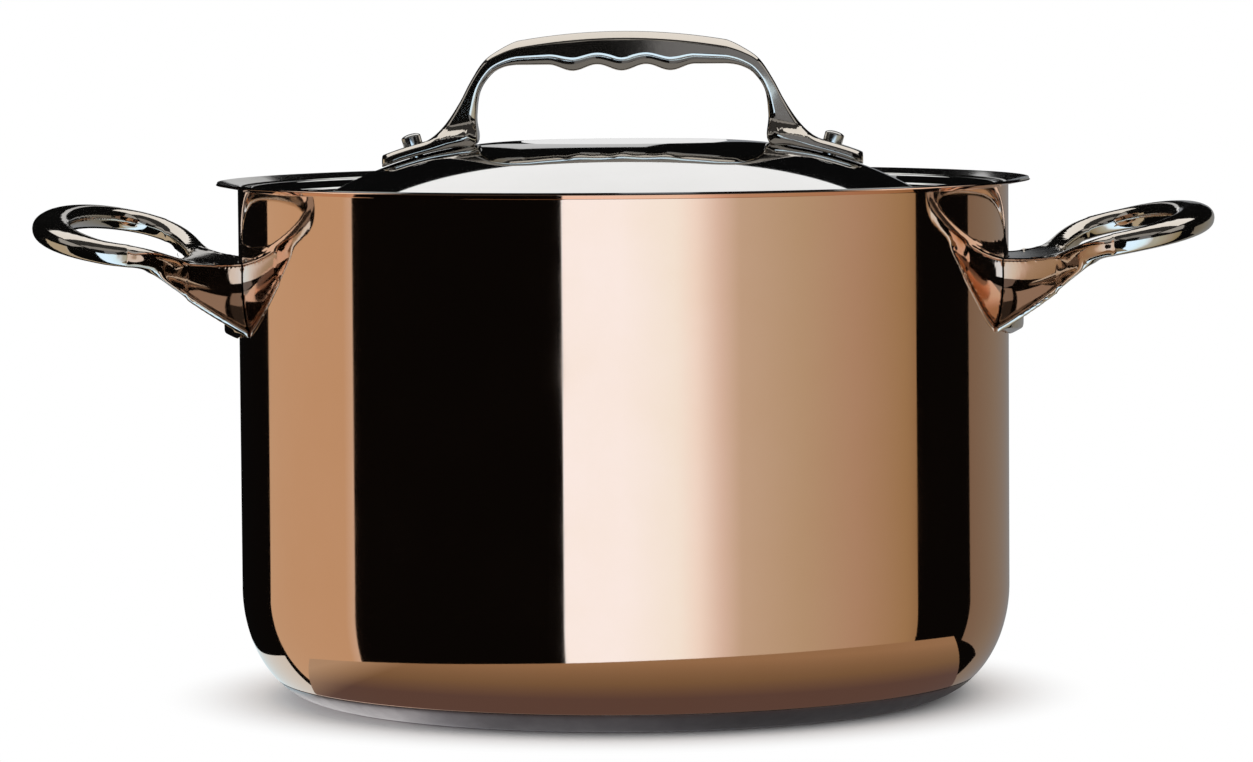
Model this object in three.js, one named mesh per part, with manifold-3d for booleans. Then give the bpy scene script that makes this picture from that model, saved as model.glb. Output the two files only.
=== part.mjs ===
// Copper casserole: a clad copper pot with two cast side handles and a domed steel lid.
// Millimetres, +Z up. The pot stands on z = 0 about the Z axis, with its handles along X.
import * as THREE from "three";
import { mergeVertices } from "three/addons/utils/BufferGeometryUtils.js";
import Module from "manifold-3d";

const wasm = await Module();
wasm.setup();

// Pot body
const bodyRadius = 122; // outside of the copper wall
const rimHeight = 163.7; // top edge of the lip above the table
const copperThickness = 1.5;
const liningThickness = 0.4;
const plateThickness = 1.5; // steel plate under the copper
const seamHeight = 6.8; // where the plate ends and bare copper begins
const cornerReach = 25.2; // half axes of the rounded lower corner
const cornerHeight = 35;
const lipReach = 6.9; // lip beyond the wall
const lipSlope = THREE.MathUtils.degToRad(13);
const lipFold = 3; // outside radius of the fold between wall and lip

// Lid
const lidThickness = 1;
const lidRise = 11.9; // crown above the rim
const crownRadius = 32; // flat middle of the crown
const shoulderRadius = 126; // arc that falls from the crown
const troughDepth = 3; // flat trough below the brim
const brimWidth = 2.6;
const brimOverlap = 0.9; // how far the brim lies over the fold
const stepRun = 1.6; // sloping wall between trough and brim

// Side handles
const loopReach = 64.9; // wall to the outer end of the loop
const loopWidth = 125;
const loopSquareness = 2.2; // 2 makes the loop and its bar round, more makes them squarer
const railWidth = 8; // bar at the inner end of the loop
const railHeight = 7.4;
const tipWidth = 13; // bar at the outer end
const tipHeight = 9.8;
const neckLength = 18; // wall to the inner edge of the finger hole
const handleDrop = 25.9; // rim down to the loop's middle line, carried on to the wall
const loopSlope = 0.225; // rise of the loop per millimetre outwards
const loopDip = 5; // how far the inner end sinks below that line
const dipLength = 16;
const neckDrop = 25.2; // rim down to the top of the neck at the wall
const rootTopWidth = 49; // casting against the wall, at its top and at its foot
const rootFootWidth = 74;
const rootDepth = 47.7; // rim down to the corners of the foot
const lobeDepth = 48.2; // rim down to the bottom of the flange
const flangeThickness = 4.9;
const flangeRound = 4; // rounded lower edge of the flange
const rootFlare = 1.6; // how late the root widens towards the loop
const sideHollow = 3; // how far the sides of the root are hollowed
const ridgeHeight = 4; // ridge along the root's lower edge
const edgeBulge = 1.6; // how far that edge sags between foot and loop
const topEase = 1.5; // eased edge along the root's top
const neckThickness = 6; // metal above the root's open underside
const sideThickness = 5; // metal beside it

// Lid handle
const gripRise = 34.8; // crown to the top of the grip
const gripThickness = 10.4; // at its middle
const gripCrown = 2.9; // how much thinner it is at its ends
const gripWidth = 21;
const openingWidth = 92.6;
const archRadius = 13.2; // inner corner between arm and grip
const armThickness = 4.4;
const armWidth = 17;
const ankleThickness = 9; // arm where it meets the foot
const ankleHeight = 14; // height over which the arm thickens
const footReach = 76; // middle of the lid to the end of a foot
const footThickness = 4;
const footWidth = 26;
const fingerPitch = 15.4;
const fingerDepth = 2;
const fingerBumps = 3;
const edgeChamfer = 2;
const ankleRise = 2; // outer side of an arm above its foot

// Rivets
const handleRivetSpacing = 30;
const handleRivetDepth = 38; // below the rim
const handleRivetShank = 3; // radii and head heights
const handleRivetHead = 5.5;
const handleRivetHeadHeight = 2.2;
const lidRivetReach = 65.5;
const lidRivetShank = 2.2;
const lidRivetHead = 3.2;
const lidRivetHeadHeight = 3.2;
const innerHeadHeight = 1.2;
const spotDepth = 1; // seat cut into the flange under a rivet head

// Clearances
const bondGap = 0.1; // between bonded layers
const seatGap = 0.3; // between pieces that rest on each other
const shankGap = 0.2; // round a rivet in its hole
const spotGap = 0.5; // round a rivet head in its seat
const headGap = 0.5; // under a flat head on a round wall

// Mesh density
const roundSegments = 48;
const rivetSegments = 12;
const arcSteps = 6;
const loopStations = 40;
const railSides = 10;
const gripStations = 26;
const bendSteps = 4;
const domeSteps = 3;
const weldTolerance = 1e-4;

const copper = new THREE.MeshStandardMaterial({ color: 0xc98a5b, roughness: 0.12, metalness: 1 });
const liningSteel = new THREE.MeshStandardMaterial({ color: 0xb9b8b6, roughness: 0.3, metalness: 1 });
const plateSteel = new THREE.MeshStandardMaterial({ color: 0x6f6b6c, roughness: 0.4, metalness: 1 });
const lidSteel = new THREE.MeshStandardMaterial({ color: 0xd4d3d1, roughness: 0.1, metalness: 1 });
const rivetSteel = new THREE.MeshStandardMaterial({ color: 0xbdbbb8, roughness: 0.25, metalness: 1 });
const castSteel = new THREE.MeshStandardMaterial({ color: 0xc4c2bf, roughness: 0.15, metalness: 1 });

// Solids
function solid(geometry) {
  const bare = geometry.clone();
  bare.deleteAttribute("normal");
  bare.deleteAttribute("uv");
  const merged = mergeVertices(bare, weldTolerance);
  const corners = merged.index.array;
  const triVerts = [];
  for (let i = 0; i < corners.length; i += 3) {
    const [a, b, c] = [corners[i], corners[i + 1], corners[i + 2]];
    if (a !== b && b !== c && c !== a) triVerts.push(a, b, c);
  }
  const vertProperties = new Float32Array(merged.attributes.position.array);
  return new wasm.Manifold(
    new wasm.Mesh({ numProp: 3, vertProperties, triVerts: new Uint32Array(triVerts) }),
  );
}

function part(name, shape, material) {
  const { vertProperties, triVerts } = shape.getMesh();
  const geometry = new THREE.BufferGeometry();
  geometry.setAttribute("position", new THREE.BufferAttribute(new Float32Array(vertProperties), 3));
  geometry.setIndex(new THREE.BufferAttribute(new Uint32Array(triVerts), 1));
  geometry.computeVertexNormals();
  const mesh = new THREE.Mesh(geometry, material);
  mesh.name = name;
  return mesh;
}

// A profile of [radius, height] points turned about Z. It starts and ends on the axis.
function turned(profile, segments = roundSegments) {
  const points = profile.map(([radius, height]) => new THREE.Vector2(radius, height));
  return new THREE.LatheGeometry(points, segments).rotateX(Math.PI / 2);
}

function arc(from, to, steps, pointAt) {
  return Array.from({ length: steps + 1 }, (_, i) => pointAt(from + ((to - from) * i) / steps));
}

// Rings of points joined into one skin, closed into a loop or capped at both ends.
function loft(rings, closed = false) {
  const sides = rings[0].length;
  const points = rings.flat();
  const index = [];
  const spans = closed ? rings.length : rings.length - 1;
  for (let i = 0; i < spans; i++) {
    const here = i * sides;
    const next = ((i + 1) % rings.length) * sides;
    for (let j = 0; j < sides; j++) {
      const k = (j + 1) % sides;
      index.push(here + j, here + k, next + k, here + j, next + k, next + j);
    }
  }
  if (!closed) {
    const last = (rings.length - 1) * sides;
    const middle = (ring) =>
      ring.reduce((sum, p) => sum.add(p), new THREE.Vector3()).divideScalar(sides);
    const first = points.push(middle(rings[0])) - 1;
    const end = points.push(middle(rings.at(-1))) - 1;
    for (let j = 0; j < sides; j++) {
      const k = (j + 1) % sides;
      index.push(first, k, j, end, last + j, last + k);
    }
  }
  return new THREE.BufferGeometry().setFromPoints(points).setIndex(index);
}

// Pot layers. An inset of 0 is the outside of the copper, and it grows inwards.
const liningInset = copperThickness + bondGap;
const wallThickness = liningInset + liningThickness;
const innerRadius = bodyRadius - wallThickness;
const cornerRadius = bodyRadius - cornerReach; // radius at which the flat bottom ends
const foldRadius = bodyRadius + lipFold;
const lipRun = (lipReach - lipFold + lipFold * Math.sin(lipSlope)) / Math.cos(lipSlope);
const topOfFold = lipFold + wallThickness;
const foldHeight = rimHeight - topOfFold * Math.cos(lipSlope) - lipRun * Math.sin(lipSlope);

function corner(inset, floor, fromHeight) {
  const across = cornerReach - inset;
  const down = cornerHeight - floor;
  const start = Math.acos((cornerHeight - fromHeight) / down);
  return arc(start, Math.PI / 2, arcSteps, (turn) => [
    cornerRadius + across * Math.sin(turn),
    cornerHeight - down * Math.cos(turn),
  ]);
}

function lip(inset) {
  const radius = lipFold + inset;
  const turnEnd = Math.PI / 2 - lipSlope;
  const fold = arc(0, turnEnd, bendSteps, (turn) => [
    foldRadius - radius * Math.cos(turn),
    foldHeight + radius * Math.sin(turn),
  ]);
  const [r, z] = fold.at(-1);
  return [...fold, [r + lipRun * Math.cos(lipSlope), z + lipRun * Math.sin(lipSlope)]];
}

function cupFace(inset) {
  const floor = plateThickness + inset;
  return [[0, floor], ...corner(inset, floor, floor), ...lip(inset)];
}

// The copper's underside where the plate covers it, out to the seam.
function underCorner(gap) {
  const down = cornerHeight - plateThickness;
  const seamTurn = Math.acos((cornerHeight - seamHeight) / down);
  return arc(0, seamTurn, arcSteps / 2, (turn) => [
    cornerRadius + (cornerReach + gap) * Math.sin(turn),
    cornerHeight - (down + gap) * Math.cos(turn),
  ]);
}

function copperOutside() {
  return [[0, plateThickness], ...underCorner(0), ...corner(0, 0, seamHeight), ...lip(0)];
}

function plateProfile() {
  const inside = underCorner(bondGap).reverse();
  const edgeTurn = Math.acos((cornerHeight - inside[0][1]) / cornerHeight);
  const outside = arc(0, edgeTurn, arcSteps / 2, (turn) => [
    cornerRadius + cornerReach * Math.sin(turn),
    cornerHeight * (1 - Math.cos(turn)),
  ]);
  return [[0, 0], ...outside, ...inside, [0, plateThickness - bondGap]];
}

const rivetAngle = Math.asin(handleRivetSpacing / 2 / bodyRadius);
const rivetAngles = [-rivetAngle, rivetAngle];
const rivetHeight = rimHeight - handleRivetDepth;
const handleTurns = { left: Math.PI, right: 0 };

// A rod along a radius of the pot, at the height of the handle rivets.
function radialRod(radius, from, to, angle) {
  const rod = new THREE.CylinderGeometry(radius, radius, to - from, rivetSegments);
  return rod.rotateZ(-Math.PI / 2).translate((from + to) / 2, 0, rivetHeight).rotateZ(angle);
}

function drilled(shell) {
  let shape = shell;
  for (const turn of Object.values(handleTurns)) {
    for (const angle of rivetAngles) {
      const end = bodyRadius + flangeThickness;
      const hole = radialRod(handleRivetShank + shankGap, innerRadius / 2, end, turn + angle);
      shape = shape.subtract(solid(hole));
    }
  }
  return shape;
}

function copperShell() {
  const profile = [...copperOutside(), ...cupFace(copperThickness).reverse()];
  return drilled(solid(turned(profile)));
}

function steelLining() {
  const profile = [...cupFace(liningInset), ...cupFace(wallThickness).reverse()];
  return drilled(solid(turned(profile)));
}

// Lid, pressed from one sheet: crown, shoulder, trough and brim.
const crownHeight = rimHeight + lidRise;
const lidRadius = innerRadius + brimOverlap;
const seatRise = Math.sqrt(topOfFold ** 2 - (foldRadius - lidRadius) ** 2);
const brimUnder = foldHeight + seatRise + seatGap;
const troughTop = brimUnder + lidThickness - troughDepth;

// The lid's face at a depth below its upper side.
function lidFace(depth) {
  const radius = shoulderRadius - depth;
  const end = Math.acos((shoulderRadius - crownHeight + troughTop - depth) / radius);
  const shoulder = arc(0, end, arcSteps, (turn) => [
    crownRadius + radius * Math.sin(turn),
    crownHeight - shoulderRadius + radius * Math.cos(turn),
  ]);
  const stepInner = lidRadius - brimWidth - stepRun + depth / 2;
  return [
    [0, crownHeight - depth],
    ...shoulder,
    [stepInner, troughTop - depth],
    [stepInner + stepRun, brimUnder + lidThickness - depth],
    [lidRadius, brimUnder + lidThickness - depth],
  ];
}

// Height of the lid's upper side at a distance from its middle.
function lidHeight(distance) {
  const out = Math.max(0, distance - crownRadius);
  return crownHeight - shoulderRadius + Math.sqrt(shoulderRadius ** 2 - out ** 2);
}

const lidRivetTilt = Math.asin((lidRivetReach - crownRadius) / shoulderRadius);

// Turns a shape that stands on the Z axis so that it stands on the lid at a rivet's place.
function atLidRivet(geometry, side) {
  const tilted = geometry.rotateY(side * lidRivetTilt);
  return tilted.translate(side * lidRivetReach, 0, lidHeight(lidRivetReach));
}

const lidSides = { left: -1, right: 1 };

function lidRivetHole(side) {
  const length = 2 * (lidThickness + footThickness + lidRivetHeadHeight);
  const radius = lidRivetShank + shankGap;
  const rod = new THREE.CylinderGeometry(radius, radius, length, rivetSegments);
  return solid(atLidRivet(rod.rotateX(Math.PI / 2), side));
}

function lidShell() {
  let shape = solid(turned([...lidFace(lidThickness), ...lidFace(0).reverse()]));
  for (const side of Object.values(lidSides)) shape = shape.subtract(lidRivetHole(side));
  return shape;
}

// Lid handle: stations from foot to foot, each with an outer point, an inner point and a width.
const gripTop = crownHeight + gripRise;
const gripUnder = gripTop - gripThickness;
const openingHalf = openingWidth / 2;
const archHeight = gripUnder - archRadius;
const archStart = openingHalf - archRadius;

function fingerBump(x) {
  const reach = (fingerBumps * fingerPitch) / 2;
  if (Math.abs(x) > reach) return 0;
  return (fingerDepth * (1 + Math.cos((2 * Math.PI * x) / fingerPitch))) / 2;
}

function footStations() {
  const sunk = footThickness;
  const ankle = openingHalf + ankleThickness + footThickness;
  return [footReach, (footReach + ankle) / 2, ankle].map((x) => ({
    outer: [x, lidHeight(x) + footThickness],
    inner: [x, lidHeight(x) - sunk],
    width: footWidth,
  }));
}

function armStations() {
  const foot = lidHeight(openingHalf);
  const knee = foot + ankleHeight;
  return arc(0, 1, bendSteps, (share) => {
    const grow = (1 - share) ** 2;
    const thickness = armThickness + (ankleThickness - armThickness) * grow;
    const outerFoot = foot + footThickness + ankleRise;
    return {
      outer: [openingHalf + thickness, outerFoot + (knee - outerFoot) * share],
      inner: [openingHalf, share === 0 ? foot - footThickness : foot + (archHeight - foot) * share],
      width: footWidth + (armWidth - footWidth) * Math.sqrt(share),
    };
  });
}

function archStations() {
  return arc(0, Math.PI / 2, arcSteps, (turn) => {
    const share = turn / (Math.PI / 2);
    const thickness = armThickness + (gripThickness - gripCrown - armThickness) * share ** 2;
    const [dx, dz] = [Math.cos(turn), Math.sin(turn)];
    return {
      outer: [archStart + (archRadius + thickness) * dx, archHeight + (archRadius + thickness) * dz],
      inner: [archStart + archRadius * dx, archHeight + archRadius * dz],
      width: armWidth + (gripWidth - armWidth) * share,
    };
  }).slice(1);
}

function gripStationsList() {
  return arc(archStart, -archStart, gripStations, (x) => ({
    outer: [x, gripTop - gripCrown * (x / archStart) ** 2],
    inner: [x, gripUnder - fingerBump(x)],
    width: gripWidth,
  })).slice(1, -1);
}

function mirrored(stations) {
  const flip = ([x, z]) => [-x, z];
  const other = stations.map(({ outer, inner, width }) => ({
    outer: flip(outer),
    inner: flip(inner),
    width,
  }));
  return other.reverse();
}

function stationRing({ outer, inner, width }) {
  const [half, cut] = [width / 2, edgeChamfer];
  const top = new THREE.Vector3(outer[0], 0, outer[1]);
  const bottom = new THREE.Vector3(inner[0], 0, inner[1]);
  const up = top.clone().sub(bottom).normalize().multiplyScalar(cut);
  const high = top.clone().sub(up);
  const low = bottom.clone().add(up);
  const at = (base, y) => base.clone().setY(y);
  return [
    at(low, -half),
    at(high, -half),
    at(top, cut - half),
    at(top, half - cut),
    at(high, half),
    at(low, half),
    at(bottom, half - cut),
    at(bottom, cut - half),
  ];
}

function lidHandle() {
  const side = [...footStations(), ...armStations(), ...archStations()];
  const stations = [...side, ...gripStationsList(), ...mirrored(side)];
  const bail = solid(loft(stations.map(stationRing)));
  const dome = lidFace(0).map(([r, z]) => [r, z + seatGap]);
  const below = [[0, 0], [lidRadius, 0], ...dome.reverse()];
  let shape = bail.subtract(solid(turned(below)));
  for (const side of Object.values(lidSides)) shape = shape.subtract(lidRivetHole(side));
  return shape;
}

// Side handle, built on +X: a cast loop on a flared root that is open underneath.
const holeEdge = bodyRadius + neckLength;
const loopInner = holeEdge - railWidth / 2;
const loopOuter = bodyRadius + loopReach - tipWidth / 2;
const loopMiddle = (loopInner + loopOuter) / 2;
const loopHalf = (loopOuter - loopInner) / 2;
const loopSide = (loopWidth - railWidth) / 2;

function loopHeight(x) {
  const sunk = Math.max(0, loopInner + dipLength - x) / dipLength;
  return rimHeight - handleDrop + loopSlope * (x - bodyRadius) - loopDip * sunk ** 2;
}

function rounded(turn, power) {
  const c = Math.cos(turn);
  const s = Math.sin(turn);
  return [Math.sign(c) * Math.abs(c) ** (2 / power), Math.sign(s) * Math.abs(s) ** (2 / power)];
}

function loopPoint(turn) {
  const [across, along] = rounded(turn, loopSquareness);
  const x = loopMiddle + loopHalf * across;
  return new THREE.Vector3(x, loopSide * along, loopHeight(x));
}

function loopRing(turn) {
  const centre = loopPoint(turn);
  const step = Math.PI / loopStations;
  const ahead = loopPoint(turn + step).sub(loopPoint(turn - step)).setZ(0).normalize();
  const outward = new THREE.Vector3(ahead.y, -ahead.x, 0);
  const atTip = (1 + Math.cos(turn)) / 2;
  const halfWidth = (railWidth + (tipWidth - railWidth) * atTip) / 2;
  const halfHeight = (railHeight + (tipHeight - railHeight) * atTip) / 2;
  return arc(0, 2 * Math.PI, railSides, (angle) => {
    const [up, out] = rounded(angle, loopSquareness);
    const point = centre.clone().addScaledVector(outward, halfWidth * out);
    return point.setZ(point.z + halfHeight * up);
  }).slice(0, -1);
}

// How far the loop's middle line lies from the handle's own middle, at a distance x.
function loopSpread(x) {
  const across = Math.abs(x - loopMiddle) / loopHalf;
  return loopSide * (1 - across ** loopSquareness) ** (1 / loopSquareness);
}

function underLoop(x) {
  return loopHeight(x) - railHeight / 2;
}

const rootStart = Math.sqrt(bodyRadius ** 2 - (rootFootWidth / 2) ** 2);
const rootEnd = holeEdge + railWidth / 2;
const rootFoot = rimHeight - rootDepth;
const neckTop = rimHeight - neckDrop;
const flangeInside = rootStart - flangeThickness;
const flangeRadius = bodyRadius + flangeThickness;

// The neck's top is level at the wall and rises into the loop.
function neckHeight(x) {
  const share = THREE.MathUtils.clamp((x - bodyRadius) / neckLength, 0, 1);
  return neckTop + (loopHeight(holeEdge) + railHeight / 3 - neckTop) * share ** 2;
}

// The root's lower edge runs from the foot up to the underside of the loop.
function rootUnder(x) {
  const share = THREE.MathUtils.clamp((x - rootStart) / (rootEnd - rootStart), 0, 1);
  const straight = rootFoot + (underLoop(rootEnd) - rootFoot) * share;
  return straight - 4 * edgeBulge * share * (1 - share);
}

// Half widths of the root across X: at its top, at its foot and at its hollowed side.
function rootHalves(x) {
  const share = Math.max(0, (x - rootStart) / (rootEnd - rootStart));
  const spread = share ** rootFlare;
  const widen = (width) => (width + (2 * loopSpread(rootEnd) - width) * spread) / 2;
  const topHalf = widen(rootTopWidth);
  const footHalf = widen(rootFootWidth);
  return { topHalf, footHalf, waist: (topHalf + footHalf) / 2 - sideHollow * (1 - spread) };
}

// Half a section of the root, with a ridge along its lower edge.
function rootSection(x, bottom) {
  const { topHalf, footHalf, waist } = rootHalves(x);
  const top = neckHeight(x);
  const under = rootUnder(x);
  const ridge = Math.min(ridgeHeight, (top - under) / 3);
  return [
    [0, bottom],
    [footHalf / 2, bottom],
    [footHalf - ridge / 2, under],
    [footHalf, under + ridge / 3],
    [footHalf, under + ridge],
    [waist, (top + under) / 2],
    [topHalf, top - topEase],
    [topHalf - topEase, top],
    [0, top],
  ];
}

function bothHalves(x, half) {
  const other = half.slice(1, -1).reverse();
  return [...half, ...other.map(([y, z]) => [-y, z])].map(([y, z]) => new THREE.Vector3(x, y, z));
}

function hood() {
  const places = arc(flangeInside, rootEnd, 2 * arcSteps, (x) => x);
  return solid(loft(places.map((x) => bothHalves(x, rootSection(x, rootUnder(x))))));
}

// A plate bent to the wall. Its lower edge hangs below the hood and is rounded off.
function flange() {
  const bottom = rimHeight - lobeDepth;
  const outline = rootSection(rootStart, bottom);
  const plate = solid(loft([flangeInside, flangeRadius].map((x) => bothHalves(x, outline))));
  const edge = arc(0, Math.PI / 2, arcSteps / 2, (turn) => [
    flangeRadius - flangeRound * (1 - Math.sin(turn)),
    bottom + flangeRound * (1 - Math.cos(turn)),
  ]);
  const drum = turned([[0, bottom], ...edge, [flangeRadius, rimHeight], [0, rimHeight]]);
  return plate.intersect(solid(drum));
}

function fingerHole() {
  const outline = arc(0, 2 * Math.PI, loopStations, (turn) => {
    const [across, along] = rounded(turn, loopSquareness);
    return new THREE.Vector2(
      loopMiddle + (loopHalf - railWidth / 4) * across,
      (loopSide - railWidth / 4) * along,
    );
  }).slice(0, -1);
  const options = { depth: rimHeight, bevelEnabled: false };
  return solid(new THREE.ExtrudeGeometry(new THREE.Shape(outline), options));
}

function rootCavity() {
  const rings = arc(rootStart, rootEnd, arcSteps, (x) => {
    const half = rootHalves(x).waist - sideThickness;
    const top = neckHeight(x) - neckThickness;
    return [
      new THREE.Vector3(x, -half, 0),
      new THREE.Vector3(x, half, 0),
      new THREE.Vector3(x, half, top),
      new THREE.Vector3(x, -half, top),
    ];
  });
  return solid(loft(rings));
}

const rivetSeat = flangeRadius - spotDepth; // where the outer heads bear

function sideHandle() {
  const turns = arc(0, 2 * Math.PI, loopStations, (turn) => turn).slice(0, -1);
  const loop = solid(loft(turns.map(loopRing), true));
  const clear = bodyRadius + seatGap;
  const wall = solid(turned([[0, 0], [clear, 0], [clear, rimHeight], [0, rimHeight]]));
  const root = hood().subtract(fingerHole()).subtract(rootCavity());
  let shape = root.add(loop).add(flange()).subtract(wall);
  for (const angle of rivetAngles) {
    const end = bodyRadius + loopReach;
    const hole = radialRod(handleRivetShank + shankGap, innerRadius, end, angle);
    const spot = radialRod(handleRivetHead + spotGap, rivetSeat, end, angle);
    shape = shape.subtract(solid(hole)).subtract(solid(spot));
  }
  return shape;
}

// A rivet stands on the Z axis: a flat closing head below, a shank, and a domed head above.
function rivet(shank, head, headHeight, from, to) {
  const closed = from - innerHeadHeight;
  const dome = arc(0, Math.PI / 2, domeSteps, (turn) => [
    head * Math.cos(turn),
    to + (headHeight * (1 + Math.sin(turn))) / 2,
  ]);
  const flat = [[0, closed], [head - innerHeadHeight / 2, closed], [head, from - innerHeadHeight / 2]];
  return turned([...flat, [head, from], [shank, from], [shank, to], [head, to], ...dome], rivetSegments);
}

function handleRivet(angle) {
  const from = innerRadius - headGap;
  const to = rivetSeat + seatGap;
  const upright = rivet(handleRivetShank, handleRivetHead, handleRivetHeadHeight, from, to);
  return solid(upright.rotateY(Math.PI / 2).translate(0, 0, rivetHeight).rotateZ(angle));
}

function lidRivet(side) {
  const from = -lidThickness - seatGap;
  const to = footThickness + headGap;
  return solid(atLidRivet(rivet(lidRivetShank, lidRivetHead, lidRivetHeadHeight, from, to), side));
}

function handleGroup(side, turn) {
  const group = new THREE.Group().add(part(`${side}_handle`, sideHandle(), castSteel));
  for (const angle of rivetAngles) {
    const place = Math.sin(turn + angle) < 0 ? "front" : "rear";
    group.add(part(`${side}_handle_rivet_${place}`, handleRivet(angle), rivetSteel));
  }
  group.rotation.z = turn;
  return group;
}

const pot = new THREE.Group().add(
  part("copper_shell", copperShell(), copper),
  part("steel_lining", steelLining(), liningSteel),
  part("base_plate", solid(turned(plateProfile())), plateSteel),
  ...Object.entries(handleTurns).map(([side, turn]) => handleGroup(side, turn)),
);

const lid = new THREE.Group().add(
  part("lid_shell", lidShell(), lidSteel),
  part("lid_handle", lidHandle(), castSteel),
  ...Object.entries(lidSides).map(([name, side]) =>
    part(`lid_rivet_${name}`, lidRivet(side), rivetSteel),
  ),
);

export default new THREE.Group().add(pot, lid);
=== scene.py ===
# %% [markdown]
# # A copper casserole in polished metal
#
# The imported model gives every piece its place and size. This lesson dresses it: fine meshes stand
# in for the coarse ones, each metal gets its own finish, and a small studio gives it something to
# mirror. Polished metal is almost all reflection, so the studio matters as much as the shapes.

import math

import bmesh
import bpy
from mathutils import Matrix, Vector


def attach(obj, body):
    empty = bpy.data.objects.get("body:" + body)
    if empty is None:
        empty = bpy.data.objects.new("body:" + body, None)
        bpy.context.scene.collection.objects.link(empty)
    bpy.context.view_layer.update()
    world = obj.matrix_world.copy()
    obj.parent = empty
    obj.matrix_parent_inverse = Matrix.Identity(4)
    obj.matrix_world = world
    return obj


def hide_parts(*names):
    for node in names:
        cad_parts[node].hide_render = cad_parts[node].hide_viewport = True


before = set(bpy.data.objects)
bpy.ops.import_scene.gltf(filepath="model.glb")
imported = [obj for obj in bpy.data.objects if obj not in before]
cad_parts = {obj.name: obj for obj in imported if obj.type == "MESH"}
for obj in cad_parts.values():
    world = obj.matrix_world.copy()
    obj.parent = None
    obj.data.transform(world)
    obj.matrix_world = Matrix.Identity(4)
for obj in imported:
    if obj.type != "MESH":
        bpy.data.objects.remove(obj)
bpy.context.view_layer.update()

# %% [markdown]
# ## The camera
#
# The picture was taken from the front with a long lens, a little above the rim and turned down by
# four degrees. A camera fitted to the outline of rim, wall and base gives these numbers. The focal
# length is in pixels of an image 1253 wide, so it is turned into millimetres of a 36 mm sensor.

# %% Camera
image_width = 1253
focal_pixels = 5515
sensor_width = 36
camera_distance = 1.750
camera_height = 0.2211
camera_turn = math.radians(1)
camera_pitch = 0.0695
camera_roll = -0.0076
shift_pixels = 2

lens = bpy.data.cameras.new("camera")
lens.sensor_width = sensor_width
lens.lens = focal_pixels * sensor_width / image_width
lens.shift_x = shift_pixels / image_width
camera = bpy.data.objects.new("camera", lens)
camera.matrix_world = (
    Matrix.Rotation(camera_turn, 4, "Z")
    @ Matrix.Translation((0, -camera_distance, camera_height))
    @ Matrix.Rotation(math.pi / 2 - camera_pitch, 4, "X")
    @ Matrix.Rotation(camera_roll, 4, "Z")
)
bpy.context.scene.collection.objects.link(camera)
bpy.context.scene.camera = camera
bpy.context.scene.view_settings.view_transform = "Standard"
print("lens in millimetres:", round(lens.lens, 1))

# %% [markdown]
# ## Tools for drawing with nodes
#
# Colours are given as sRGB hex values, but shaders work with linear light, so one function
# turns one into the other. A second function adds a node, sets it up and links its inputs. Every
# material below is made with these two.


# %% Colours and nodes
def linear(hex_code):
    """A linear RGBA colour from an sRGB hex value such as B87333."""
    shares = [int(hex_code[i : i + 2], 16) / 255 for i in (0, 2, 4)]
    bent = [s / 12.92 if s <= 0.04045 else ((s + 0.055) / 1.055) ** 2.4 for s in shares]
    return (*bent, 1)


def add_node(tree, kind, inputs=None, **settings):
    """A new node. An input is either a value or another node's output socket."""
    node = tree.nodes.new(kind)
    for name, value in settings.items():
        setattr(node, name, value)
    for socket, value in (inputs or {}).items():
        if isinstance(value, bpy.types.NodeSocket):
            tree.links.new(value, node.inputs[socket])
        else:
            node.inputs[socket].default_value = value
    return node


print("linear copper:", [round(c, 3) for c in linear("F0C4AB")])

# %% [markdown]
# ## Polished copper
#
# The pot is spun copper, buffed to a mirror. Copper tints what it reflects, so the base colour is
# a pale salmon and the metal does the rest. A real buffed wall isn't a perfect mirror: the spinning
# leaves faint rings, and hands leave soft smudges. The rings are really about 0.2 mm apart, too
# fine to show at this distance, so they are drawn 1.5 mm apart. Noise with a grain of 30 mm makes
# the smudges.

# %% Polished copper
mm = 0.001
# A wave texture of scale 1 repeats after this length.
wave_length = 2 * math.pi / 20
smudge_size = 30
spun_rings = 1.5

copper = bpy.data.materials.new("polished_copper")
copper.use_nodes = True
tree = copper.node_tree
shader = tree.nodes["Principled BSDF"]
shader.inputs["Metallic"].default_value = 1
place = add_node(tree, "ShaderNodeTexCoord").outputs["Object"]
smudge = add_node(
    tree,
    "ShaderNodeTexNoise",
    {"Vector": place, "Scale": 1 / (smudge_size * mm), "Detail": 5, "Roughness": 0.6},
)
gloss = add_node(
    tree,
    "ShaderNodeMapRange",
    {
        "Value": smudge.outputs["Fac"],
        "From Min": 0.35,
        "From Max": 0.75,
        "To Min": 0.03,
        "To Max": 0.06,
    },
)
tone = add_node(
    tree,
    "ShaderNodeMix",
    {0: smudge.outputs["Fac"], 6: linear("F1C4AA"), 7: linear("EDBE9F")},
    data_type="RGBA",
)
rings = add_node(
    tree,
    "ShaderNodeTexWave",
    {"Vector": place, "Scale": wave_length / (spun_rings * mm), "Distortion": 0.4, "Detail": 2},
    bands_direction="Z",
)
relief = add_node(
    tree,
    "ShaderNodeBump",
    {"Height": rings.outputs["Fac"], "Strength": 0.02, "Distance": 0.02 * mm},
)
tree.links.new(tone.outputs[2], shader.inputs["Base Color"])
tree.links.new(gloss.outputs["Result"], shader.inputs["Roughness"])
tree.links.new(relief.outputs["Normal"], shader.inputs["Normal"])
print("copper smudges in millimetres:", smudge_size)

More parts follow.
